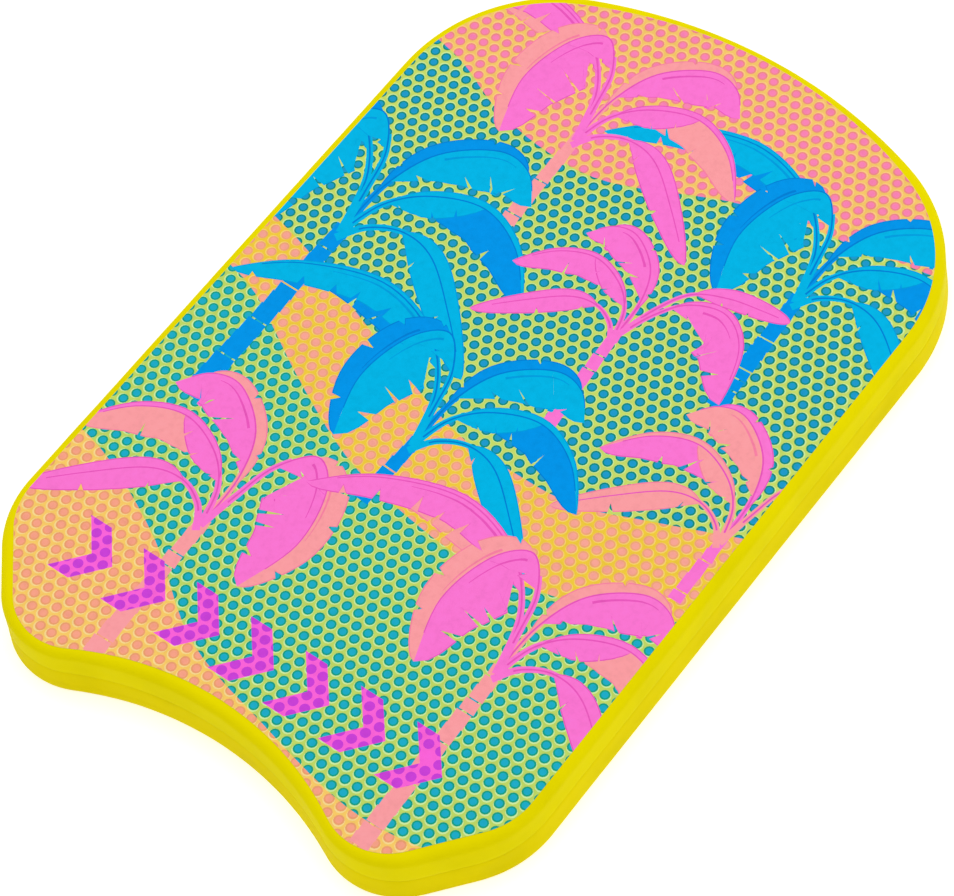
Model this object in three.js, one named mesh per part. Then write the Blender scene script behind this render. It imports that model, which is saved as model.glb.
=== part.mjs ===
// Kickboard float: two sheets of closed-cell foam bonded face to face, with a printed
// transfer film on the deck. Millimetres, +Z up. The board lies flat, with X across its
// width and Y along its length towards the nose. The origin is under the middle of the
// board, on the surface that it rests on. The board has no moving parts.

import * as THREE from 'three';

// Driving dimensions: the two outlines, seen from above, and the whole thickness.
// Each outline is a chain of tangent arcs, symmetric about the board's length: the arched
// nose, the nose corner, a straight side, the tail corner, a straight chamfer, the rounded
// lobe of the tail and the hollow notch between the lobes.
const FOAM_OUTLINE = {
  length: 440,
  width: 290,
  noseRadius: 250,
  noseCornerRadius: 85,
  tailCornerRadius: 55,
  chamferAngle: THREE.MathUtils.degToRad(40),
  lobeRadius: 38,
  notchRadius: 165,
  notchDepth: 20,
};
const PRINT_OUTLINE = {
  length: 429,
  width: 278.6,
  noseRadius: 228,
  noseCornerRadius: 78,
  tailCornerRadius: 34,
  chamferAngle: THREE.MathUtils.degToRad(40),
  lobeRadius: 30,
  notchRadius: 152,
  notchDepth: 22,
};
const THICKNESS = 30;

// Section through the edge.
const BOND_THICKNESS = 0.4;
const BOND_INSET = 3;
const FILM_THICKNESS = 0.2;
const DECK_EDGE_RADIUS = 4;
const UPPER_WALL_DRAFT = 0.4;
const UPPER_SHEET_STEP = 0.8;
const SEAM_EDGE_RADIUS = 0.8;
const BASE_EDGE_RADIUS = 2.5;

// Steps along each arc of an outline, and around each rounded edge.
const ARC_STEPS = { notch: 8, lobeInner: 4, lobeOuter: 3, tailCorner: 5, noseCorner: 8, nose: 8 };
const DECK_EDGE_STEPS = 5;
const SEAM_EDGE_STEPS = 2;
const BASE_EDGE_STEPS = 3;

const QUARTER_TURN = Math.PI / 2;
const SHEET_THICKNESS = (THICKNESS - BOND_THICKNESS) / 2;
const UPPER_SHEET_Z = SHEET_THICKNESS + BOND_THICKNESS;

// Points on an arc, with both of its ends.
function arcPoints(centre, radius, from, to, steps) {
  const points = [];
  for (let step = 0; step <= steps; step += 1) {
    const angle = from + (to - from) * step / steps;
    points.push(new THREE.Vector2(
      centre.x + radius * Math.cos(angle),
      centre.y + radius * Math.sin(angle),
    ));
  }
  return points;
}

// Centres of an outline's arcs on the right half of the board, and the angles where the
// nose meets its corner and where the notch meets the lobe.
function arcCentres(outline) {
  const halfWidth = outline.width / 2;
  const noseY = outline.length / 2;
  const tailY = -outline.length / 2;

  const nose = new THREE.Vector2(0, noseY - outline.noseRadius);
  const noseCornerX = halfWidth - outline.noseCornerRadius;
  const noseReach = outline.noseRadius - outline.noseCornerRadius;
  const noseRise = Math.sqrt(noseReach ** 2 - noseCornerX ** 2);
  const noseCorner = new THREE.Vector2(noseCornerX, nose.y + noseRise);

  const notch = new THREE.Vector2(0, tailY + outline.notchDepth - outline.notchRadius);
  const lobeY = tailY + outline.lobeRadius;
  const lobeReach = outline.notchRadius + outline.lobeRadius;
  const lobeX = Math.sqrt(lobeReach ** 2 - (lobeY - notch.y) ** 2);
  const lobe = new THREE.Vector2(lobeX, lobeY);

  // The straight chamfer touches the lobe at one end and the tail corner at the other.
  const normal = new THREE.Vector2(Math.cos(outline.chamferAngle), -Math.sin(outline.chamferAngle));
  const chamferDistance = normal.dot(lobe) + outline.lobeRadius;
  const tailCornerX = halfWidth - outline.tailCornerRadius;
  const tailCornerReach = chamferDistance - outline.tailCornerRadius - normal.x * tailCornerX;
  const tailCorner = new THREE.Vector2(tailCornerX, tailCornerReach / normal.y);

  return {
    nose,
    noseCorner,
    tailCorner,
    lobe,
    notch,
    noseAngle: Math.atan2(noseRise, noseCornerX),
    notchAngle: Math.atan2(lobe.y - notch.y, lobe.x),
  };
}

// The closed outline, moved in by an inset, counter-clockwise from the notch's middle.
function boardOutline(outline, inset) {
  const centres = arcCentres(outline);
  const lobeRadius = outline.lobeRadius - inset;
  const tailCornerRadius = outline.tailCornerRadius - inset;
  const noseCornerRadius = outline.noseCornerRadius - inset;
  const lobeStart = centres.notchAngle - Math.PI;
  const chamfer = -outline.chamferAngle;
  const rightHalf = [
    ...arcPoints(centres.notch, outline.notchRadius + inset,
      QUARTER_TURN, centres.notchAngle, ARC_STEPS.notch),
    ...arcPoints(centres.lobe, lobeRadius, lobeStart, -QUARTER_TURN, ARC_STEPS.lobeInner).slice(1),
    ...arcPoints(centres.lobe, lobeRadius, -QUARTER_TURN, chamfer, ARC_STEPS.lobeOuter).slice(1),
    ...arcPoints(centres.tailCorner, tailCornerRadius, chamfer, 0, ARC_STEPS.tailCorner),
    ...arcPoints(centres.noseCorner, noseCornerRadius, 0, centres.noseAngle, ARC_STEPS.noseCorner),
    ...arcPoints(centres.nose, outline.noseRadius - inset,
      centres.noseAngle, QUARTER_TURN, ARC_STEPS.nose).slice(1),
  ];
  const leftHalf = rightHalf.slice(1, -1).reverse().map((point) => new THREE.Vector2(-point.x, point.y));
  return [...rightHalf, ...leftHalf];
}

// A quarter-round edge as a list of insets and heights, from the wall to the face.
// faceDirection is 1 for a top face and -1 for a base.
function roundedEdge(wallInset, faceZ, radius, steps, faceDirection) {
  const levels = [];
  for (let step = 0; step <= steps; step += 1) {
    const turn = QUARTER_TURN * step / steps;
    levels.push({
      inset: wallInset + radius * (1 - Math.cos(turn)),
      z: faceZ - faceDirection * radius * (1 - Math.sin(turn)),
    });
  }
  return levels;
}

// A closed solid through one foam outline per level, from the lowest level to the highest.
function loftedSheet(levels) {
  const rings = levels.map((level) => boardOutline(FOAM_OUTLINE, level.inset));
  const count = rings[0].length;
  const positions = [];
  rings.forEach((ring, index) => {
    ring.forEach((point) => positions.push(point.x, point.y, levels[index].z));
  });

  const triangles = [];
  for (let ring = 0; ring < rings.length - 1; ring += 1) {
    for (let index = 0; index < count; index += 1) {
      const next = (index + 1) % count;
      const low = ring * count;
      const high = low + count;
      triangles.push(low + index, low + next, high + next);
      triangles.push(low + index, high + next, high + index);
    }
  }
  const top = (rings.length - 1) * count;
  THREE.ShapeUtils.triangulateShape(rings[0], []).forEach(([a, b, c]) => {
    triangles.push(c, b, a);
  });
  THREE.ShapeUtils.triangulateShape(rings[rings.length - 1], []).forEach(([a, b, c]) => {
    triangles.push(top + a, top + b, top + c);
  });

  const geometry = new THREE.BufferGeometry();
  geometry.setAttribute('position', new THREE.Float32BufferAttribute(positions, 3));
  geometry.setIndex(triangles);
  geometry.computeVertexNormals();
  return geometry;
}

// A flat film that covers an outline moved in by an inset.
function flatFilm(outline, inset, thickness) {
  const shape = new THREE.Shape(boardOutline(outline, inset));
  return new THREE.ExtrudeGeometry(shape, { depth: thickness, bevelEnabled: false });
}

function lowerFoamSheet() {
  const base = roundedEdge(0, 0, BASE_EDGE_RADIUS, BASE_EDGE_STEPS, -1).reverse();
  const seam = roundedEdge(0, SHEET_THICKNESS, SEAM_EDGE_RADIUS, SEAM_EDGE_STEPS, 1);
  return loftedSheet([...base, ...seam]);
}

// The upper sheet is a little smaller than the lower one, and its wall leans in.
function upperFoamSheet() {
  const seam = roundedEdge(UPPER_SHEET_STEP, 0, SEAM_EDGE_RADIUS, SEAM_EDGE_STEPS, -1).reverse();
  const deckInset = UPPER_SHEET_STEP + UPPER_WALL_DRAFT;
  const deck = roundedEdge(deckInset, SHEET_THICKNESS, DECK_EDGE_RADIUS, DECK_EDGE_STEPS, 1);
  return loftedSheet([...seam, ...deck]);
}

function bondLayer() {
  return flatFilm(FOAM_OUTLINE, BOND_INSET, BOND_THICKNESS);
}

function deckPrintFilm() {
  return flatFilm(PRINT_OUTLINE, 0, FILM_THICKNESS);
}

function foamMaterial() {
  return new THREE.MeshStandardMaterial({ color: 0xf3e000, roughness: 0.7, metalness: 0 });
}

function bondMaterial() {
  return new THREE.MeshStandardMaterial({ color: 0xd9c46a, roughness: 0.5, metalness: 0 });
}

function printMaterial() {
  return new THREE.MeshStandardMaterial({ color: 0x1fa9bd, roughness: 0.45, metalness: 0 });
}

const group = new THREE.Group();

function addPiece(name, geometry, material, z) {
  const mesh = new THREE.Mesh(geometry, material);
  mesh.name = name;
  mesh.position.z = z;
  group.add(mesh);
}

addPiece('lower_foam_sheet', lowerFoamSheet(), foamMaterial(), 0);
addPiece('bond_layer', bondLayer(), bondMaterial(), SHEET_THICKNESS);
addPiece('upper_foam_sheet', upperFoamSheet(), foamMaterial(), UPPER_SHEET_Z);
addPiece('deck_print_film', deckPrintFilm(), printMaterial(), THICKNESS);

export default group;
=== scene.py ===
"""Looks of a foam kickboard float: two bonded foam sheets with a printed film on the deck.

Lengths are in millimetres while shapes are worked out, and become metres in mesh_piece.
The board lies in the model's frame: +Y to the nose, +X to the right, +Z up from the underside.
"""

import math
import random

import bpy
import numpy as np
from mathutils import Matrix, Vector, noise
from mathutils.geometry import delaunay_2d_cdt


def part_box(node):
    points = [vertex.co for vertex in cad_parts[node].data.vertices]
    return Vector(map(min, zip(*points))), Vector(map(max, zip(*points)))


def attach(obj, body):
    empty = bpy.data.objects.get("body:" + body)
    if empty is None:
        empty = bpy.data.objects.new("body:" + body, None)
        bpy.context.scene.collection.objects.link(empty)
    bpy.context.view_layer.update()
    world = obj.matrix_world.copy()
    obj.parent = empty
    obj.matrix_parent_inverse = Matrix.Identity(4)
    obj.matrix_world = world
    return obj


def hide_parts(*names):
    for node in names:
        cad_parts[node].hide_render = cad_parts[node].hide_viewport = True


MM = 0.001

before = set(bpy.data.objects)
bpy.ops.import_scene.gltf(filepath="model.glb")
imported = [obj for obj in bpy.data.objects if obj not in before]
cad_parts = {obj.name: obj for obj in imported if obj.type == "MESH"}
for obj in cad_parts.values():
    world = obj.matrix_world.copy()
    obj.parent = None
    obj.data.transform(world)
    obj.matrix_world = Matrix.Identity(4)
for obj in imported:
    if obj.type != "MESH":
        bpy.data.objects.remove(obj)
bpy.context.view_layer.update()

# ---------------------------------------------------------------- sizes

SHEET_LOW, SHEET_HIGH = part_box("lower_foam_sheet")
BOARD_WIDTH = (SHEET_HIGH[0] - SHEET_LOW[0]) / MM
BOARD_LENGTH = (SHEET_HIGH[1] - SHEET_LOW[1]) / MM
SEAM_LOW = SHEET_HIGH[2] / MM
SEAM_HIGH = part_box("upper_foam_sheet")[0][2] / MM
DECK_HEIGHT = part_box("upper_foam_sheet")[1][2] / MM
FILM_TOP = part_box("deck_print_film")[1][2] / MM

FOAM_OUTLINE = {
    "length": BOARD_LENGTH,
    "width": BOARD_WIDTH,
    "nose_radius": 250,
    "nose_corner_radius": 85,
    "tail_corner_radius": 55,
    "chamfer_angle": math.radians(40),
    "lobe_radius": 38,
    "notch_radius": 165,
    "notch_depth": 20,
}
PRINT_OUTLINE = {
    "length": 429,
    "width": 278.6,
    "nose_radius": 228,
    "nose_corner_radius": 78,
    "tail_corner_radius": 34,
    "chamfer_angle": math.radians(40),
    "lobe_radius": 30,
    "notch_radius": 152,
    "notch_depth": 22,
}

# The wall: how far it leans in, its rounded edges, and the steps that it is made in.
DECK_EDGE_RADIUS = 4
WALL_LEAN_AT_SEAM = 0.8
WALL_LEAN_AT_DECK = 1.2
SEAM_EDGE_RADIUS = 0.14
BOND_RECESS = 0.06
BASE_EDGE_RADIUS = 1.2
WALL_STEP = 2.5

# The waviness of the cut wall: long waves with a short ripple on them, as waves per millimetre
# along the wall and up it, and how far the wall is pulled in so that it stays in its box.
CUT_WAVE = 0.16
LONG_WAVE, LONG_RISE = 0.03, 0.05
SHORT_WAVE, SHORT_RISE = 0.25, 0.3
LONG_SHARE = 0.75
CUT_PULL = 0.45

# The dots: rows with every other one shifted by half a pitch. Each dot has a core, a darker
# edge, and a pale under-base that was printed slightly larger and so shifts outwards.
DOT_PITCH = 6.4
DOT_RADIUS = 2.45
DOT_CORE_RADIUS = 1.65
DOT_SIDES = 12
DOT_CORE_SIDES = 10
DOT_ORIGIN = (-2.99, -3.62)
UNDER_BASE_RADIUS = 2.75
UNDER_BASE_SPREAD = 1.0026
DOT_ROWS = 40
DOT_COLUMNS = 24
DOT_MARGIN = 4

# Shapes of the print thinner than FINEST aren't drawn, and corners closer than WELD become one.
# The plane that is cut into the print reaches out to FAR on every side.
FINEST = 0.02
WELD = 0.004
FAR = 400
PRINT_STEP = 4

# ---------------------------------------------------------------- outlines


TYPICAL_RADIUS = 100


def arc(centre, radius, start, end, step):
    """Points on an arc, ends included. An arc of the typical radius has them about step apart.

    Their number doesn't depend on the radius, so the rings of a sheet all match."""
    count = max(2, math.ceil(abs(end - start) * TYPICAL_RADIUS / step))
    angles = [start + (end - start) * k / count for k in range(count + 1)]
    return [(centre[0] + radius * math.cos(a), centre[1] + radius * math.sin(a)) for a in angles]


def straights_filled(points, step):
    """The closed outline with extra points wherever two neighbours are far apart."""
    filled = []
    for here, there in zip(points, points[1:] + points[:1]):
        gap = math.dist(here, there)
        count = max(1, math.ceil(gap / step - 0.5))
        for k in range(count):
            t = k / count
            filled.append((here[0] + (there[0] - here[0]) * t, here[1] + (there[1] - here[1]) * t))
    return filled


def board_outline(size, inset, step=WALL_STEP):
    """The closed outline of a board, anticlockwise from the middle of the tail notch.

    The inset moves it inwards. The flat nose arc has three times as many points."""
    half_width = size["width"] / 2
    nose_centre = (0, size["length"] / 2 - size["nose_radius"])
    corner_x = half_width - size["nose_corner_radius"]
    rise = math.sqrt((size["nose_radius"] - size["nose_corner_radius"]) ** 2 - corner_x**2)
    nose_corner = (corner_x, nose_centre[1] + rise)
    notch_y = -size["length"] / 2 + size["notch_depth"] - size["notch_radius"]
    lobe_y = -size["length"] / 2 + size["lobe_radius"]
    lobe_x = math.sqrt((size["notch_radius"] + size["lobe_radius"]) ** 2 - (lobe_y - notch_y) ** 2)
    across, down = math.cos(size["chamfer_angle"]), -math.sin(size["chamfer_angle"])
    reach = across * lobe_x + down * lobe_y + size["lobe_radius"]
    tail_x = half_width - size["tail_corner_radius"]
    tail_y = (reach - size["tail_corner_radius"] - across * tail_x) / down
    nose_turn = math.atan2(rise, corner_x)
    notch_turn = math.atan2(lobe_y - notch_y, lobe_x)
    right = [
        *arc((0, notch_y), size["notch_radius"] + inset, math.pi / 2, notch_turn, step),
        *arc(
            (lobe_x, lobe_y),
            size["lobe_radius"] - inset,
            notch_turn - math.pi,
            -size["chamfer_angle"],
            step,
        )[1:],
        *arc(
            (tail_x, tail_y), size["tail_corner_radius"] - inset, -size["chamfer_angle"], 0, step
        ),
        *arc(nose_corner, size["nose_corner_radius"] - inset, 0, nose_turn, step),
        *arc(nose_centre, size["nose_radius"] - inset, nose_turn, math.pi / 2, step / 3)[1:],
    ]
    left = [(-x, y) for x, y in reversed(right[1:-1])]
    return straights_filled(right + left, step)


def outward(points):
    """The outward unit normal at each point of a closed anticlockwise outline."""
    normals = []
    for before, after in zip(points[-1:] + points[:-1], points[1:] + points[:1]):
        along = Vector((after[0] - before[0], after[1] - before[1])).normalized()
        normals.append((along.y, -along.x))
    return normals


# ---------------------------------------------------------------- meshes


def mesh_piece(name, points, faces, materials, face_materials=None, flat_faces=()):
    """A new piece of the board from points in millimetres, riding on the board's one body."""
    mesh = bpy.data.meshes.new(name)
    mesh.from_pydata([(x * MM, y * MM, z * MM) for x, y, z in points], [], faces)
    for material in materials:
        mesh.materials.append(material)
    if face_materials:
        mesh.polygons.foreach_set("material_index", face_materials)
    smooth = [index not in flat_faces for index in range(len(faces))]
    mesh.polygons.foreach_set("use_smooth", smooth)
    mesh.validate()
    piece = bpy.data.objects.new(name, mesh)
    bpy.context.scene.collection.objects.link(piece)
    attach(piece, "root")
    return piece


def quarter_round(inset, height, radius, start, steps):
    """Levels round a quarter circle, from the angle start in degrees, as (inset, height)."""
    angles = [math.radians(start + 90 * k / steps) for k in range(steps + 1)]
    return [(inset - radius * math.cos(a), height + radius * math.sin(a)) for a in angles]


def wall(low_inset, low, high_inset, high, steps):
    """Levels between two heights of a wall, ends left out, as (inset, height)."""
    shares = [k / steps for k in range(1, steps)]
    return [
        (low_inset + (high_inset - low_inset) * t, low + (high - low) * t) for t in shares
    ]


def lofted_sheet(name, levels, material):
    """A closed sheet of foam through its levels, from the lowest up, each (inset, height)."""
    count = len(board_outline(FOAM_OUTLINE, 0))
    points = []
    for inset, height in levels:
        ring = board_outline(FOAM_OUTLINE, inset)
        for (x, y), (nx, ny) in zip(ring, outward(ring)):
            wave = noise.noise(Vector((x * LONG_WAVE, y * LONG_WAVE, height * LONG_RISE)))
            ripple = noise.noise(Vector((x * SHORT_WAVE, y * SHORT_WAVE, height * SHORT_RISE)))
            shift = CUT_WAVE * (LONG_SHARE * wave + (1 - LONG_SHARE) * ripple - CUT_PULL)
            points.append((x + nx * shift, y + ny * shift, height))
    faces = []
    for level in range(len(levels) - 1):
        low, high = level * count, (level + 1) * count
        for k in range(count):
            after = (k + 1) % count
            faces.append((low + k, low + after, high + after, high + k))
    faces.append(tuple(reversed(range(count))))
    faces.append(tuple(range((len(levels) - 1) * count, len(levels) * count)))
    caps = {len(faces) - 1, len(faces) - 2}
    return mesh_piece(name, points, faces, [material], flat_faces=caps)


# ---------------------------------------------------------------- materials


def srgb(red, green, blue):
    """A colour given as 0 to 255 display values, as the linear RGBA that a shader reads."""
    def linear(value):
        share = value / 255
        return share / 12.92 if share <= 0.04045 else ((share + 0.055) / 1.055) ** 2.4
    return (linear(red), linear(green), linear(blue), 1)


def new_material(name):
    """An empty node material: its nodes, its links and its Principled shader."""
    material = bpy.data.materials.new(name)
    material.use_nodes = True
    nodes, links = material.node_tree.nodes, material.node_tree.links
    return material, nodes, links, nodes["Principled BSDF"]


def noise_node(nodes, links, scale, detail=3, roughness=0.5):
    """A noise over object coordinates, with its scale in waves per metre."""
    place = nodes.new("ShaderNodeTexCoord")
    texture = nodes.new("ShaderNodeTexNoise")
    texture.inputs["Scale"].default_value = scale
    texture.inputs["Detail"].default_value = detail
    texture.inputs["Roughness"].default_value = roughness
    links.new(place.outputs["Object"], texture.inputs["Vector"])
    return texture


def ramp_node(nodes, links, source, stops):
    """Colours by a value, with stops as (place, colour)."""
    ramp = nodes.new("ShaderNodeValToRGB")
    elements = ramp.color_ramp.elements
    elements[0].position, elements[0].color = stops[0]
    elements[1].position, elements[1].color = stops[-1]
    for place, colour in stops[1:-1]:
        elements.new(place).color = colour
    links.new(source, ramp.inputs["Fac"])
    return ramp


def bump_node(nodes, links, height, distance, strength=0.5, below=None):
    """Bump of that distance in metres, on top of another bump if one is given."""
    bump = nodes.new("ShaderNodeBump")
    bump.inputs["Distance"].default_value = distance
    bump.inputs["Strength"].default_value = strength
    links.new(height, bump.inputs["Height"])
    if below is not None:
        links.new(below.outputs["Normal"], bump.inputs["Normal"])
    return bump


def grey(value):
    """A grey of that linear value, for ramps that drive roughness."""
    return (value, value, value, 1)


def shade(colour, factor):
    """The colour made darker or lighter by a factor."""
    return (*[min(1, channel * factor) for channel in colour[:3]], 1)


# Cells per metre.
FOAM_CELLS = 2600
GLUE_CELLS = 900


def foam_material(name, colour, cell_scale=FOAM_CELLS):
    """Closed-cell EVA foam: a satin skin with fine cells, soft mottling and uneven gloss."""
    material, nodes, links, shader = new_material(name)
    mottle = noise_node(nodes, links, scale=26, detail=4, roughness=0.55)
    tint = ramp_node(
        nodes,
        links,
        mottle.outputs["Fac"],
        [(0.3, shade(colour, 0.94)), (0.5, colour), (0.72, shade(colour, 1.03))],
    )
    links.new(tint.outputs["Color"], shader.inputs["Base Color"])
    gloss = noise_node(nodes, links, scale=90)
    finish = ramp_node(nodes, links, gloss.outputs["Fac"], [(0.3, grey(0.5)), (0.7, grey(0.64))])
    links.new(finish.outputs["Color"], shader.inputs["Roughness"])
    cells = nodes.new("ShaderNodeTexVoronoi")
    cells.inputs["Scale"].default_value = cell_scale
    place = nodes.new("ShaderNodeTexCoord")
    links.new(place.outputs["Object"], cells.inputs["Vector"])
    skin = noise_node(nodes, links, scale=260)
    cell_bump = bump_node(nodes, links, cells.outputs["Distance"], distance=0.00004)
    skin_bump = bump_node(nodes, links, skin.outputs["Fac"], distance=0.00012, below=cell_bump)
    links.new(skin_bump.outputs["Normal"], shader.inputs["Normal"])
    shader.inputs["Specular IOR Level"].default_value = 0.01
    shader.inputs["Specular Tint"].default_value = colour
    return material


def ink_material(name, colour):
    """Matt transfer ink on foam: faint mottling, and the foam's grain through the film."""
    material, nodes, links, shader = new_material(name)
    mottle = noise_node(nodes, links, scale=320, detail=4, roughness=0.6)
    tint = ramp_node(
        nodes,
        links,
        mottle.outputs["Fac"],
        [(0.28, shade(colour, 0.93)), (0.5, colour), (0.74, shade(colour, 1.05))],
    )
    links.new(tint.outputs["Color"], shader.inputs["Base Color"])
    gloss = noise_node(nodes, links, scale=700, detail=2)
    finish = ramp_node(nodes, links, gloss.outputs["Fac"], [(0.3, grey(0.48)), (0.7, grey(0.6))])
    links.new(finish.outputs["Color"], shader.inputs["Roughness"])
    grain = noise_node(nodes, links, scale=1500, detail=2)
    bump = bump_node(nodes, links, grain.outputs["Fac"], distance=0.00005)
    links.new(bump.outputs["Normal"], shader.inputs["Normal"])
    shader.inputs["Specular IOR Level"].default_value = 0.2
    shader.inputs["Specular Tint"].default_value = colour
    return material


# ---------------------------------------------------------------- printed design

# The inks by name, as 0 to 255 display values. The ground has four in each zone: the lattice
# between the dots, and each dot's rim, edge and core.
INKS = {
    "lattice_pink": (246, 199, 105),
    "lattice_teal": (200, 220, 105),
    "lattice_salmon": (242, 203, 62),
    "lattice_turquoise": (193, 217, 103),
    "lattice_peach": (252, 205, 104),
    "rim_pink": (255, 206, 128),
    "rim_teal": (208, 238, 158),
    "rim_salmon": (252, 216, 112),
    "rim_turquoise": (208, 240, 165),
    "rim_peach": (252, 220, 146),
    "edge_pink": (240, 139, 138),
    "edge_teal": (16, 140, 124),
    "edge_salmon": (242, 168, 122),
    "edge_turquoise": (22, 160, 132),
    "edge_peach": (240, 162, 114),
    "dot_pink": (252, 132, 182),
    "dot_teal": (31, 155, 205),
    "dot_salmon": (251, 167, 152),
    "dot_turquoise": (31, 174, 203),
    "dot_peach": (252, 165, 138),
    "pink": (255, 119, 213),
    "pink_line": (236, 88, 190),
    "salmon": (255, 160, 165),
    "salmon_line": (250, 130, 165),
    "cyan": (0, 182, 232),
    "cyan_line": (0, 158, 224),
    "blue": (0, 150, 235),
    "blue_line": (0, 128, 214),
    "chevron": (255, 100, 220),
    "chevron_dot": (204, 66, 218),
}
INK_NAMES = list(INKS)

# The zones of the ground from the nose to the tail, each the end of its inks' names.
ZONES = ["pink", "teal", "salmon", "turquoise", "peach"]
# The line between each zone and the next: its heights at places across the board, on a smooth
# curve from left to right. The zones reach past the film on both sides and at the tail.
ZONE_LINES = [
    [
        (-150, 144), (-120, 137), (-90, 124), (-55, 117),
        (-20, 119), (40, 143), (100, 152), (150, 160),
    ],
    [
        (-150, 21), (-115, 12), (-60, -8), (0, -28),
        (40, -31), (70, -29), (100, -18), (150, 2),
    ],
    [
        (-150, -12), (-120, -20), (-75, -45), (-30, -66),
        (10, -75), (50, -78), (100, -68), (150, -47),
    ],
    [
        (-150, -119), (-120, -126), (-75, -147), (-30, -177),
        (20, -191), (75, -202), (115, -199), (150, -190),
    ],
]
ZONE_TAIL = -230
ZONE_CURVE_STEPS = 5


def smooth_path(points, steps=8):
    """Points on a smooth (Catmull-Rom) curve through the given ones."""
    ends = [points[0], *points, points[-1]]
    path = []
    for before, start, end, after in zip(ends, ends[1:], ends[2:], ends[3:]):
        for k in range(steps):
            t = k / steps
            weights = (
                -t / 2 + t**2 - t**3 / 2,
                1 - 2.5 * t**2 + 1.5 * t**3,
                t / 2 + 2 * t**2 - 1.5 * t**3,
                -(t**2) / 2 + t**3 / 2,
            )
            corners = (before, start, end, after)
            x = sum(w * p[0] for w, p in zip(weights, corners))
            y = sum(w * p[1] for w, p in zip(weights, corners))
            path.append(Vector((x, y)))
    path.append(Vector(points[-1]))
    return path


def normals_of(path):
    """The unit normal to the left of a path at each of its points."""
    ends = [path[0], *path, path[-1]]
    normals = []
    for before, after in zip(ends, ends[2:]):
        along = (after - before).normalized()
        normals.append(Vector((-along.y, along.x)))
    return normals


def along(path, t):
    """The point, the left normal and the direction at share t of a path."""
    place = min(max(t, 0), 1) * (len(path) - 1)
    index = min(int(place), len(path) - 2)
    part = place - index
    step = path[index + 1] - path[index]
    direction = step.normalized()
    return path[index] + step * part, Vector((-direction.y, direction.x)), direction


def is_convex(corners):
    """True if a shape turns the same way at each of its corners."""
    turns = []
    for before, here, after in zip(corners[-1:] + corners[:-1], corners, corners[1:] + corners[:1]):
        first, second = here - before, after - here
        turns.append(first.x * second.y - first.y * second.x)
    return min(turns) > 0 or max(turns) < 0


class Design:
    """Painted shapes in painter's order, each a simple polygon with the name of its ink."""

    def __init__(self):
        self.shapes, self.inks = [], []

    def polygon(self, corners, ink):
        """Adds a shape, unless it is too thin to see."""
        sides = list(zip(corners, corners[1:] + corners[:1]))
        twice_area = sum(a[0] * b[1] - b[0] * a[1] for a, b in sides)
        if abs(twice_area) > 2 * FINEST * max((b - a).length for a, b in sides):
            self.shapes.append(corners)
            self.inks.append(ink)

    def strip(self, one_side, other_side, ink):
        """Four-sided shapes between two rows of points."""
        for a, b, c, d in zip(one_side, one_side[1:], other_side[1:], other_side):
            if is_convex([a, b, c, d]):
                self.polygon([a, b, c, d], ink)
            else:
                self.polygon([a, b, c], ink)
                self.polygon([a, c, d], ink)

    def stroke(self, path, start_width, end_width, ink):
        """A line of changing width along a path."""
        last = len(path) - 1
        sides = [[], []]
        for k, (point, normal) in enumerate(zip(path, normals_of(path))):
            half = (start_width + (end_width - start_width) * k / last) / 2
            sides[0].append(point + normal * half)
            sides[1].append(point - normal * half)
        self.strip(sides[0], sides[1], ink)


def blade_share(u):
    """How wide a leaf is at share u of its length: broad soon after the stalk, pointed at the tip."""
    return (1 - (1 - u) ** 6) * (1 - u**3.2) ** 0.8


def blade_shares(tears, chance):
    """The shares of a blade where its edge has points, and how deep each tear goes, by its share."""
    cuts = [(k + chance.uniform(*TEAR_PLACES)) / (tears + UNTORN_TIP) for k in range(tears)]
    depths = {cut: TEAR_DEPTH * chance.uniform(*TEAR_DEPTHS) for cut in cuts}
    shares = {k / BLADE_STEPS for k in range(BLADE_STEPS + 1)}
    shares = {u for u in shares if all(abs(u - cut) > TEAR_HALF_WIDTH for cut in cuts)}
    before, after = (TEAR_HALF_WIDTH * side for side in TEAR_SIDES)
    for cut in cuts:
        shares |= {cut - before, cut, cut + after}
    return sorted(share for share in shares if 0 <= share <= 1), depths


def half_leaf(design, path, side, part, tones, chance):
    """One part of a leaf along its rib: its torn blade, its fold line and its outline.

    side is 1 to the left of the path and -1 to its right. Where the arch is so tight that the
    edge runs backwards, the outline is left out."""
    _, width, tone, start, end, tears = part
    shares, depths = blade_shares(tears, chance)
    rib, edge, untorn, fold = [], [], [], []
    for u in shares:
        point, normal, direction = along(path, start + (end - start) * u)
        reach = width * blade_share(u) * (1 - depths.get(u, 0))
        rib.append(point)
        outward_step = normal * side + direction * LEAFLET_SWEEP
        edge.append(point + outward_step * reach)
        untorn.append(point + outward_step * width * blade_share(u))
        if FOLD_START < u < FOLD_END:
            fold.append(point + normal * side * width * blade_share(u) * FOLD_PLACE)
    design.strip(rib, edge, tones[tone])
    if tears >= FOLDED_TEARS:
        design.stroke(fold, *FOLD_WIDTHS, tones[tone + "_line"])
    inner = [
        tip + (root - tip) * min(1, OUTLINE_WIDTH / max((root - tip).length, OUTLINE_WIDTH))
        for root, tip in zip(rib, edge)
    ]
    for k, step in enumerate(b - a for a, b in zip(untorn, untorn[1:])):
        if step.dot(rib[k + 1] - rib[k]) > 0:
            design.strip(inner[k : k + 2], edge[k : k + 2], tones[tone + "_line"])


def turning(path):
    """1 if a path turns left on the whole, and -1 if it turns right."""
    total = 0
    for before, here, after in zip(path, path[1:], path[2:]):
        total += (here - before).angle_signed(after - here, 0)
    return 1 if total < 0 else -1


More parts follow.
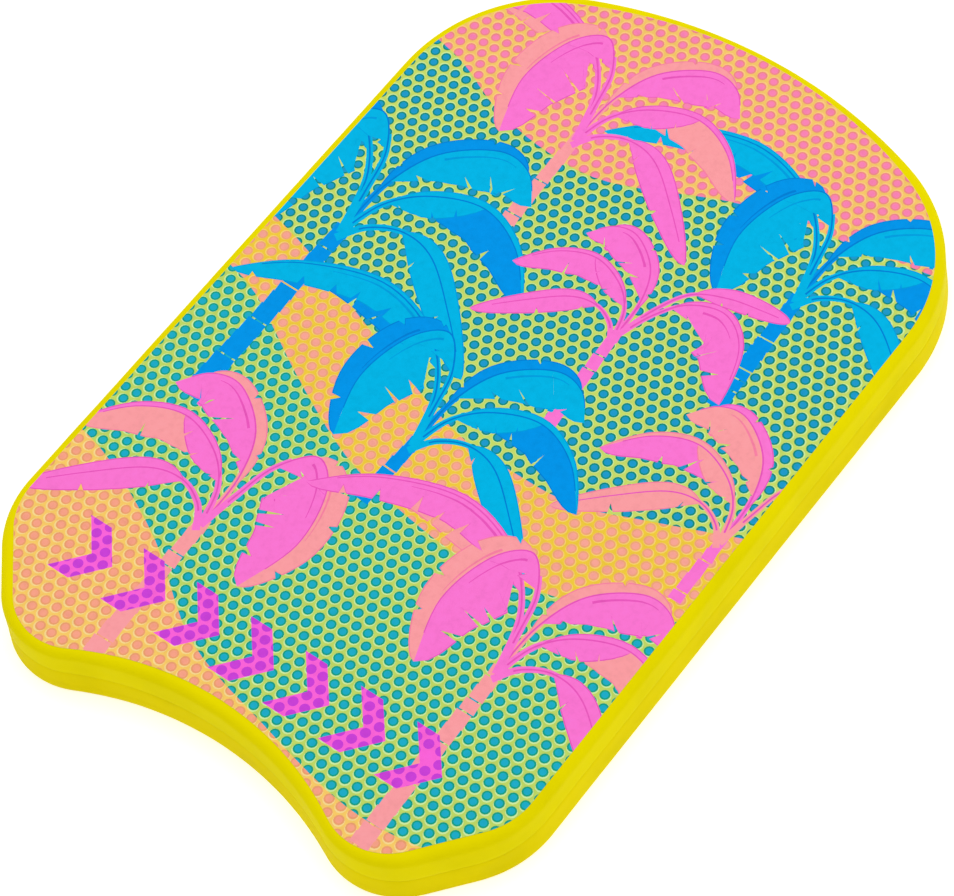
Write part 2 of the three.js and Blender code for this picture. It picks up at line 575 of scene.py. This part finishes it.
def frond(design, spine, size, parts, tones, chance):
    """A leaf on its stalk: wide parts under the arch of its rib and narrow ones over it."""
    path = smooth_path(spine)
    under = turning(path)
    start = min(part[3] for part in parts)
    stem = path[: int(len(path) * start) + STALK_OVERLAP]
    stem_width = STALK_WIDTH * size
    design.stroke(stem, stem_width, stem_width * STALK_TAPER, tones[parts[-1][2]])
    for side, width, *rest in parts:
        part = (side, width * size, *rest)
        half_leaf(design, path, under if side == "under" else -under, part, tones, chance)
    rib = path[int(len(path) * start * RIB_START) : -RIB_STOP]
    design.stroke(rib, *RIB_WIDTHS, tones["rib"])


# The fronds of a palm about its crown, as (name, spine, parts). A part is its side of the rib,
# its width, its tone, the shares of the spine where it starts and ends, and its tears.
FRONDS = [
    (
        "far_arch",
        [(0, 0), (-9, 30), (-30, 52), (-64, 62), (-102, 50), (-128, 30)],
        [
            ("under", 22, "shade", 0.3, 0.8, 5),
            ("under", 16, "leaf", 0.26, 1, 7),
            ("over", 2.5, "leaf", 0.26, 1, 0),
        ],
    ),
    (
        "low_leaf",
        [(0, -3), (8, 8), (22, 14), (39, 10), (61, -8), (83, -29)],
        [("under", 12, "leaf", 0.38, 1, 2), ("over", 6, "leaf", 0.38, 1, 0)],
    ),
    (
        "up_leaf",
        [(0, 0), (1, 28), (10, 52), (30, 67), (46, 65), (57, 52)],
        [("under", 23, "leaf", 0.22, 1, 5), ("over", 6, "shade", 0.16, 0.8, 2)],
    ),
    (
        "right_arch",
        [(0, 0), (6, 20), (20, 34), (42, 41), (64, 32), (82, 12)],
        [
            ("under", 19, "shade", 0.3, 1, 2),
            ("under", 12, "leaf", 0.22, 0.6, 3),
            ("over", 3.5, "leaf", 0.22, 1, 0),
        ],
    ),
    (
        "hanging_leaf",
        [(0, 0), (-4, 22), (-9, 42), (-22, 57), (-36, 45), (-42, 16), (-33, -15)],
        [
            ("over", 12, "shade", 0.5, 1, 4),
            ("under", 31, "leaf", 0.34, 1, 7),
        ],
    ),
]
# Two more fronds that only the middle palm has.
SPARE_FRONDS = [
    (
        "level_leaf",
        [(0, 0), (-8, 28), (-20, 50), (-40, 60), (-62, 64), (-80, 66)],
        [("over", 8, "leaf", 0.42, 1, 0), ("under", 8, "leaf", 0.42, 1, 2)],
    ),
    (
        "drooping_leaf",
        [(0, 0), (-10, 26), (-24, 44), (-46, 50), (-66, 34), (-78, -3)],
        [("under", 34, "leaf", 0.3, 1, 6), ("over", 4, "leaf", 0.3, 1, 0)],
    ),
]

# A blade's edge is swept towards its tip, and torn. Each tear lies within TEAR_PLACES of its own
# stretch of the blade, with UNTORN_TIP of a stretch left at the tip. It reaches TEAR_DEPTHS of
# TEAR_DEPTH, as a share of the blade's width, and starts and ends TEAR_SIDES half widths from its
# point. A blade with at least FOLDED_TEARS has a fold line, at FOLD_PLACE of its width.
BLADE_STEPS = 24
LEAFLET_SWEEP = 0.25
TEAR_PLACES = (0.3, 0.8)
UNTORN_TIP = 0.6
TEAR_DEPTH = 0.6
TEAR_DEPTHS = (0.45, 1)
TEAR_HALF_WIDTH = 0.024
TEAR_SIDES = (0.8, 0.4)
OUTLINE_WIDTH = 0.55
FOLD_START, FOLD_END = 0.24, 0.66
FOLD_PLACE = 0.17
FOLD_WIDTHS = (1.3, 0.3)
FOLDED_TEARS = 4

# The stalk narrows to the blade and runs STALK_OVERLAP points into it. The rib line starts at
# a share of the stalk and stops RIB_STOP points short of the tip.
STALK_WIDTH = 3.7
STALK_TAPER = 0.7
STALK_OVERLAP = 4
RIB_START = 0.4
RIB_STOP = 4
RIB_WIDTHS = (0.9, 0.5)


def tones_of(leaf, shade_ink):
    """The inks of a palm by the name of their use."""
    return {
        "leaf": leaf,
        "leaf_line": leaf + "_line",
        "shade": shade_ink,
        "shade_line": shade_ink + "_line",
        "rib": "blue_line" if leaf == "cyan" else "pink_line",
    }


# From the back to the front: crown, foot of the trunk, size, mirror, inks of the leaf and its
# shade, trunk width, fronds left out. The first palm's tears and trunk have FIRST_SEED as their
# seed, and each palm after it has the next number.
FIRST_SEED = 11
PALMS = [
    ((88, 111), (90, 46), 1.0, 1, ("cyan", "blue"), 10, ()),
    ((-48, 129), (-47, 73), 1.0, 1, ("pink", "salmon"), 8.5, ()),
    ((-108, 28), (-110, -80), 1.15, 1, ("cyan", "blue"), 12, ()),
    ((31, 50), (34, -4), 0.77, -1, ("pink", "pink"), 8, ("far_arch", "hanging_leaf")),
    ((132, -10), (132, -44), 0.88, -1, ("salmon", "pink"), 7.5, ("far_arch",)),
    ((-10, -45), (-12, -80), 1.0, 1, ("cyan", "blue"), 9, ()),
    ((-63, -130), (-62, -207), 1.0, -1, ("pink", "salmon"), 10, ("far_arch",)),
    ((90, -116), (91, -214), 1.0, 1, ("pink", "salmon"), 10, ()),
]

# The segments of a trunk: how tall they are, where the first starts against the crown, how much
# of the trunk's width is left there, how they flare, and the gaps or overlaps between them.
SEGMENT_HEIGHTS = (5, 9)
SHORTEST_SEGMENT = 3
TRUNK_TOP = -4
TRUNK_TAPER = 0.75
SEGMENT_LEAN = 0.3
SEGMENT_FLARES = (0.4, 0.5)
GAP_CHANCE = 0.35
SEGMENT_GAP = 0.7
SEGMENT_OVERLAP = -0.2


def trunk(design, crown, foot, width, ink, chance):
    """A trunk of flared segments, some of them parted by a thin gap."""
    crown, foot = Vector(crown), Vector(foot)
    drop = foot - crown
    length = drop.length
    across = Vector((-drop.y, drop.x)).normalized()
    place = TRUNK_TOP
    while length - place > SHORTEST_SEGMENT:
        tall = min(chance.uniform(*SEGMENT_HEIGHTS), length - place)
        top = crown + drop * (place / length)
        base = crown + drop * ((place + tall) / length)
        half = width * (TRUNK_TAPER + (1 - TRUNK_TAPER) * max(place, 0) / length) / 2
        lean = chance.uniform(-SEGMENT_LEAN, SEGMENT_LEAN)
        left = [top - across * (half + lean), base - across * (half - SEGMENT_FLARES[0])]
        right = [top + across * (half - SEGMENT_FLARES[1]), base + across * (half + lean)]
        design.strip(left, right, ink)
        place += tall + (SEGMENT_GAP if chance.random() < GAP_CHANCE else SEGMENT_OVERLAP)


def palm(design, crown, foot, size, mirror, inks, width, left_out, seed):
    """One palm: its trunk, then its fronds from the back to the front."""
    chance = random.Random(seed)
    tones = tones_of(*inks)
    trunk(design, crown, foot, width, tones["shade"], chance)
    spare = SPARE_FRONDS if inks == ("pink", "pink") else []
    for name, spine, parts in FRONDS + spare:
        if name not in left_out:
            placed = [(crown[0] + mirror * size * x, crown[1] + size * y) for x, y in spine]
            frond(design, placed, size, parts, tones, chance)


def dot_centres(reach):
    """The centres of the dot lattice out to the reach, which is half a width and half a length."""
    row_gap = DOT_PITCH * math.sqrt(3) / 2
    for row in range(-DOT_ROWS, DOT_ROWS + 1):
        for column in range(-DOT_COLUMNS, DOT_COLUMNS + 1):
            x = DOT_ORIGIN[0] + (column + row % 2 / 2) * DOT_PITCH
            y = DOT_ORIGIN[1] + row * row_gap
            if abs(x) < reach[0] and abs(y) < reach[1]:
                yield x, y


def circle(x, y, radius, sides):
    """The corners of a regular polygon."""
    turns = [2 * math.pi * k / sides for k in range(sides)]
    return [(x + radius * math.cos(a), y + radius * math.sin(a)) for a in turns]


def is_inside(points, shape):
    """Whether each point lies in a polygon, by counting the sides that it has to its right."""
    odd = np.zeros(len(points), bool)
    for (x, y), (next_x, next_y) in zip(shape, np.roll(shape, -1, axis=0)):
        if y == next_y:
            continue
        between = (points[:, 1] < y) != (points[:, 1] < next_y)
        crossing = x + (points[:, 1] - y) * (next_x - x) / (next_y - y)
        odd ^= between & (points[:, 0] < crossing)
    return odd


def top_shape(points, shapes):
    """For each point, the number of the last shape that covers it, or -1."""
    found = np.full(len(points), -1)
    order = np.argsort(points[:, 1])
    heights = points[order, 1]
    for number, corners in enumerate(shapes):
        shape = np.array([tuple(corner) for corner in corners])
        low, high = shape.min(axis=0), shape.max(axis=0)
        first, last = np.searchsorted(heights, [low[1], high[1]])
        near = order[first:last]
        near = near[(points[near, 0] >= low[0]) & (points[near, 0] <= high[0])]
        found[near[is_inside(points[near], shape)]] = number
    return found


# A dot is hidden if painted shapes cover its middle and a ring of points round its rim.
HIDING_MARGIN = 0.5
HIDING_SIDES = 8


def showing(centres, shapes):
    """The dots that the painted shapes don't hide, by their middles and a ring round them."""
    centres = np.array(list(centres))
    ring = circle(0, 0, UNDER_BASE_RADIUS + HIDING_MARGIN, HIDING_SIDES)
    around = np.array([*ring, (0, 0)])
    samples = (centres[:, None, :] + around[None, :, :]).reshape(-1, 2)
    hidden = (top_shape(samples, shapes) >= 0).reshape(len(centres), len(around))
    return [tuple(centre) for centre in centres[~hidden.all(axis=1)]]


# A row of chevrons along the tail: their number, the place of the first, and their size.
CHEVRONS = 7
CHEVRON_START = -107
CHEVRON_PITCH = 30.5
CHEVRON_LOW, CHEVRON_HIGH = -183.5, -153
CHEVRON_STROKE = 12
CHEVRON_POINT = 13


def chevron(x):
    """One chevron pointing to the right, from its upper left corner at x."""
    middle = (CHEVRON_LOW + CHEVRON_HIGH) / 2
    return [
        (x, CHEVRON_HIGH),
        (x + CHEVRON_POINT, middle),
        (x, CHEVRON_LOW),
        (x + CHEVRON_STROKE, CHEVRON_LOW),
        (x + CHEVRON_STROKE + CHEVRON_POINT, middle),
        (x + CHEVRON_STROKE, CHEVRON_HIGH),
    ]


# The parts of the ground: the three shapes of a dot as they are drawn, then what lies between.
GROUND_PARTS = ["rim", "edge", "dot", "lattice"]
SHAPES_OF_DOT = 3


def ground_shapes(design):
    """The dots that show, each a pale rim, a darker edge and its own colour, in that order."""
    reach = (PRINT_OUTLINE["width"] / 2 + DOT_MARGIN, PRINT_OUTLINE["length"] / 2 + DOT_MARGIN)
    shapes = []
    for x, y in showing(dot_centres(reach), design.shapes):
        spread_x, spread_y = x * UNDER_BASE_SPREAD, y * UNDER_BASE_SPREAD
        shapes.append(circle(spread_x, spread_y, UNDER_BASE_RADIUS, DOT_SIDES))
        shapes.append(circle(x, y, DOT_RADIUS, DOT_SIDES))
        shapes.append(circle(x, y, DOT_CORE_RADIUS, DOT_CORE_SIDES))
    return shapes


def triangulated(points, sides):
    """The plane cut along those sides between points: its points and its triangles.

    Four far corners keep the edge of the plane away from every shape."""
    far_corners = [(-FAR, -FAR), (FAR, -FAR), (FAR, FAR), (-FAR, FAR)]
    corners = [Vector((point[0], point[1])) for point in [*points, *far_corners]]
    corners, _, faces, *_ = delaunay_2d_cdt(corners, sides, [], 0, WELD, False)
    return np.array([tuple(corner) for corner in corners]), np.array(faces)


def sides_of(shapes):
    """The corners of every shape in one row, and its sides as pairs of their numbers."""
    points, sides = [], []
    for shape in shapes:
        first, count = len(points), len(shape)
        points.extend(shape)
        sides.extend((first + k, first + (k + 1) % count) for k in range(count))
    return points, sides


def inks_of(centres, outline, zones, dots, chevrons, design):
    """The number of the ink that shows at each point, or -1 off the film."""
    zone = top_shape(centres, zones) + 1
    dot = top_shape(centres, dots)
    part = np.where(dot < 0, GROUND_PARTS.index("lattice"), dot % SHAPES_OF_DOT)
    painted = top_shape(centres, design.shapes)
    ground = np.array(
        [
            [INK_NAMES.index(part_name + "_" + zone_name) for zone_name in ZONES]
            for part_name in GROUND_PARTS
        ]
    )
    inks = ground[part, zone]
    paint = np.array([INK_NAMES.index(ink) for ink in design.inks])
    inks[painted >= 0] = paint[painted[painted >= 0]]
    marked = top_shape(centres, chevrons) >= 0
    on_dot = (part == GROUND_PARTS.index("edge")) | (part == GROUND_PARTS.index("dot"))
    inks[marked] = INK_NAMES.index("chevron")
    inks[marked & on_dot] = INK_NAMES.index("chevron_dot")
    inks[~is_inside(centres, np.array(outline))] = -1
    return inks


def ink_borders(faces, inks):
    """The sides that have another ink, or no ink, on their other hand."""
    corners = np.concatenate([faces[:, [0, 1]], faces[:, [1, 2]], faces[:, [2, 0]]])
    corners.sort(axis=1)
    ink = np.concatenate([inks, inks, inks])
    order = np.lexsort((corners[:, 1], corners[:, 0]))
    corners, ink = corners[order], ink[order]
    paired = np.all(corners[1:] == corners[:-1], axis=1)
    differs = paired & (ink[1:] != ink[:-1])
    return corners[1:][differs]


def below_line(line):
    """The part of the plane on the tail side of a zone line."""
    border = [tuple(point) for point in reversed(smooth_path(line, ZONE_CURVE_STEPS))]
    return [(line[0][0], ZONE_TAIL), (line[-1][0], ZONE_TAIL), *border]


def printed_faces():
    """The print as flat triangles, with the number of the ink of each.

    The plane is cut along every shape, then once more along the borders of the inks alone."""
    design = Design()
    for number, details in enumerate(PALMS):
        palm(design, *details, seed=number + FIRST_SEED)
    outline = board_outline(PRINT_OUTLINE, 0, PRINT_STEP)
    zones = [below_line(line) for line in ZONE_LINES]
    dots = ground_shapes(design)
    chevrons = [chevron(CHEVRON_START + k * CHEVRON_PITCH) for k in range(CHEVRONS)]
    points, sides = sides_of([outline, *zones, *dots, *chevrons, *design.shapes])
    for _ in range(2):
        points, faces = triangulated(points, sides)
        centres = points[faces].mean(axis=1)
        inks = inks_of(centres, outline, zones, dots, chevrons, design)
        borders = ink_borders(faces, inks)
        used, sides = np.unique(borders, return_inverse=True)
        cut_points, points = points, points[used]
        sides = sides.reshape(-1, 2).tolist()
    on_film = inks >= 0
    faces = [tuple(int(corner) for corner in face) for face in faces[on_film]]
    return cut_points, faces, inks[on_film].tolist()


def printed_film(materials):
    """The film with every ink in its place: one flat top, a thin wall round it and a base."""
    points, kept, slots = printed_faces()
    used = sorted({corner for face in kept for corner in face})
    number = {corner: k for k, corner in enumerate(used)}
    kept = [tuple(number[corner] for corner in face) for face in kept]
    top = [(points[corner][0], points[corner][1], FILM_TOP) for corner in used]
    edges = {(a, b) for face in kept for a, b in zip(face, face[1:] + face[:1])}
    rim_next = {a: b for a, b in edges if (b, a) not in edges}
    rim = [min(rim_next)]
    while rim_next[rim[-1]] != rim[0]:
        rim.append(rim_next[rim[-1]])
    base = [(top[corner][0], top[corner][1], DECK_HEIGHT) for corner in rim]
    first = len(top)
    count = len(rim)
    walls = [
        (rim[(k + 1) % count], rim[k], first + k, first + (k + 1) % count) for k in range(count)
    ]
    bottom = tuple(reversed(range(first, first + count)))
    faces = kept + walls + [bottom]
    slots += [INK_NAMES.index("lattice_teal")] * (count + 1)
    return mesh_piece(
        "deck_print", top + base, faces, materials, slots, set(range(len(faces)))
    )


# ---------------------------------------------------------------- the board

# The lower sheet is given a slightly darker, more orange yellow than the upper one.
upper_foam = foam_material("foam_yellow_upper", srgb(237, 222, 1))
lower_foam = foam_material("foam_yellow_lower", srgb(237, 218, 1))
# The glue is painted a little darker than both sheets. This is partly the glue's own tone and partly
# painted shade in the shallow groove of the seam.
glue_and_seam_shade = foam_material("bond_glue_seam_shade", srgb(231, 213, 2), GLUE_CELLS)
ink_materials = [ink_material("ink_" + name, srgb(*INKS[name])) for name in INK_NAMES]

seam_inset = WALL_LEAN_AT_SEAM + SEAM_EDGE_RADIUS
lower_wall_top = SEAM_LOW - SEAM_EDGE_RADIUS
lower_levels = [
    *quarter_round(BASE_EDGE_RADIUS, BASE_EDGE_RADIUS, BASE_EDGE_RADIUS, start=-90, steps=6),
    *wall(0, BASE_EDGE_RADIUS, WALL_LEAN_AT_SEAM, lower_wall_top, steps=5),
    *quarter_round(seam_inset, lower_wall_top, SEAM_EDGE_RADIUS, start=0, steps=3),
]
lower_sheet = lofted_sheet("foam_lower", lower_levels, lower_foam)
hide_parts("lower_foam_sheet")

upper_wall_base = SEAM_HIGH + SEAM_EDGE_RADIUS
upper_wall_top = DECK_HEIGHT - DECK_EDGE_RADIUS
deck_inset = WALL_LEAN_AT_DECK + DECK_EDGE_RADIUS
upper_levels = [
    *quarter_round(seam_inset, upper_wall_base, SEAM_EDGE_RADIUS, start=-90, steps=3),
    *wall(WALL_LEAN_AT_SEAM, upper_wall_base, WALL_LEAN_AT_DECK, upper_wall_top, steps=5),
    *quarter_round(deck_inset, upper_wall_top, DECK_EDGE_RADIUS, start=0, steps=8),
]
upper_sheet = lofted_sheet("foam_upper", upper_levels, upper_foam)
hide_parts("upper_foam_sheet")

bond_inset = WALL_LEAN_AT_SEAM + BOND_RECESS
bond_levels = [
    (bond_inset, SEAM_LOW),
    (bond_inset - BOND_RECESS / 2, (SEAM_LOW + SEAM_HIGH) / 2),
    (bond_inset, SEAM_HIGH),
]
bond = lofted_sheet("bond_line", bond_levels, glue_and_seam_shade)
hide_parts("bond_layer")

film = printed_film(ink_materials)
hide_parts("deck_print_film")

# ---------------------------------------------------------------- floor, light and camera


def floor_material():
    """Pale studio sweep: nearly white, with a faint unevenness."""
    material, nodes, links, shader = new_material("studio_floor")
    mottle = noise_node(nodes, links, scale=3)
    tint = ramp_node(nodes, links, mottle.outputs["Fac"], [(0.3, grey(0.8)), (0.7, grey(0.83))])
    links.new(tint.outputs["Color"], shader.inputs["Base Color"])
    shader.inputs["Roughness"].default_value = 0.9
    shader.inputs["Specular IOR Level"].default_value = 0.1
    shader.inputs["Emission Color"].default_value = (1, 1, 1, 1)
    shader.inputs["Emission Strength"].default_value = 0.5
    return material


# The floor, like the lamps and the camera, is in metres.
FLOOR_HALF_SIZE = 4
FLOOR_DROP = 0.0002


def add_floor():
    """A square floor, a hair below the board so that the two never share a plane."""
    mesh = bpy.data.meshes.new("floor")
    signs = [(-1, -1), (1, -1), (1, 1), (-1, 1)]
    corners = [(x * FLOOR_HALF_SIZE, y * FLOOR_HALF_SIZE, 0) for x, y in signs]
    mesh.from_pydata(corners, [], [(0, 1, 2, 3)])
    mesh.materials.append(floor_material())
    floor = bpy.data.objects.new("floor", mesh)
    floor.location.z = -FLOOR_DROP
    bpy.context.scene.collection.objects.link(floor)


def add_light(name, place, size, power, colour=(1, 1, 1)):
    """A soft square lamp aimed at the middle of the board."""
    lamp = bpy.data.lights.new(name, "AREA")
    lamp.color = colour
    lamp.shape = "SQUARE"
    lamp.size = size
    lamp.energy = power
    light = bpy.data.objects.new(name, lamp)
    light.location = place
    light.rotation_mode = "QUATERNION"
    light.rotation_quaternion = (Vector((0, 0, 0)) - Vector(place)).to_track_quat("-Z", "Y")
    bpy.context.scene.collection.objects.link(light)


def add_world(strength):
    """Even white light from all round."""
    world = bpy.data.worlds.new("studio")
    world.use_nodes = True
    world.node_tree.nodes["Background"].inputs["Color"].default_value = (1, 1, 1, 1)
    world.node_tree.nodes["Background"].inputs["Strength"].default_value = strength
    bpy.context.scene.world = world


# The camera in metres: where it stands, the point that it looks at, and which way its right is.
CAMERA_PLACE = (0.68083, -0.68041, 1.51389)
CAMERA_TARGET = (0.01493, -0.02987, 0.0302)
CAMERA_RIGHT = (0.79458, 0.59991, -0.09358)
LENS = 149.39
SENSOR_WIDTH = 36


def add_camera():
    """The camera at the photograph's angle, upright as its right side says."""
    place = Vector(CAMERA_PLACE)
    right = Vector(CAMERA_RIGHT).normalized()
    forward = (Vector(CAMERA_TARGET) - place).normalized()
    up = right.cross(forward).normalized()
    right = forward.cross(up).normalized()
    data = bpy.data.cameras.new("camera")
    data.lens = LENS
    data.sensor_width = SENSOR_WIDTH
    data.clip_start = 0.05
    data.clip_end = 50
    camera = bpy.data.objects.new("camera", data)
    turn = Matrix((right, up, -forward)).transposed().to_4x4()
    camera.matrix_world = Matrix.Translation(place) @ turn
    bpy.context.scene.collection.objects.link(camera)
    bpy.context.scene.camera = camera


add_floor()
add_light("overhead", (-0.3, 0.3, 2.4), size=2.2, power=32)
add_light("fill", (1.6, 1.4, 1.2), size=1.4, power=7, colour=(0.94, 1, 0.97))
add_world(strength=0.48)
add_camera()
bpy.context.scene.view_settings.view_transform = "Standard"
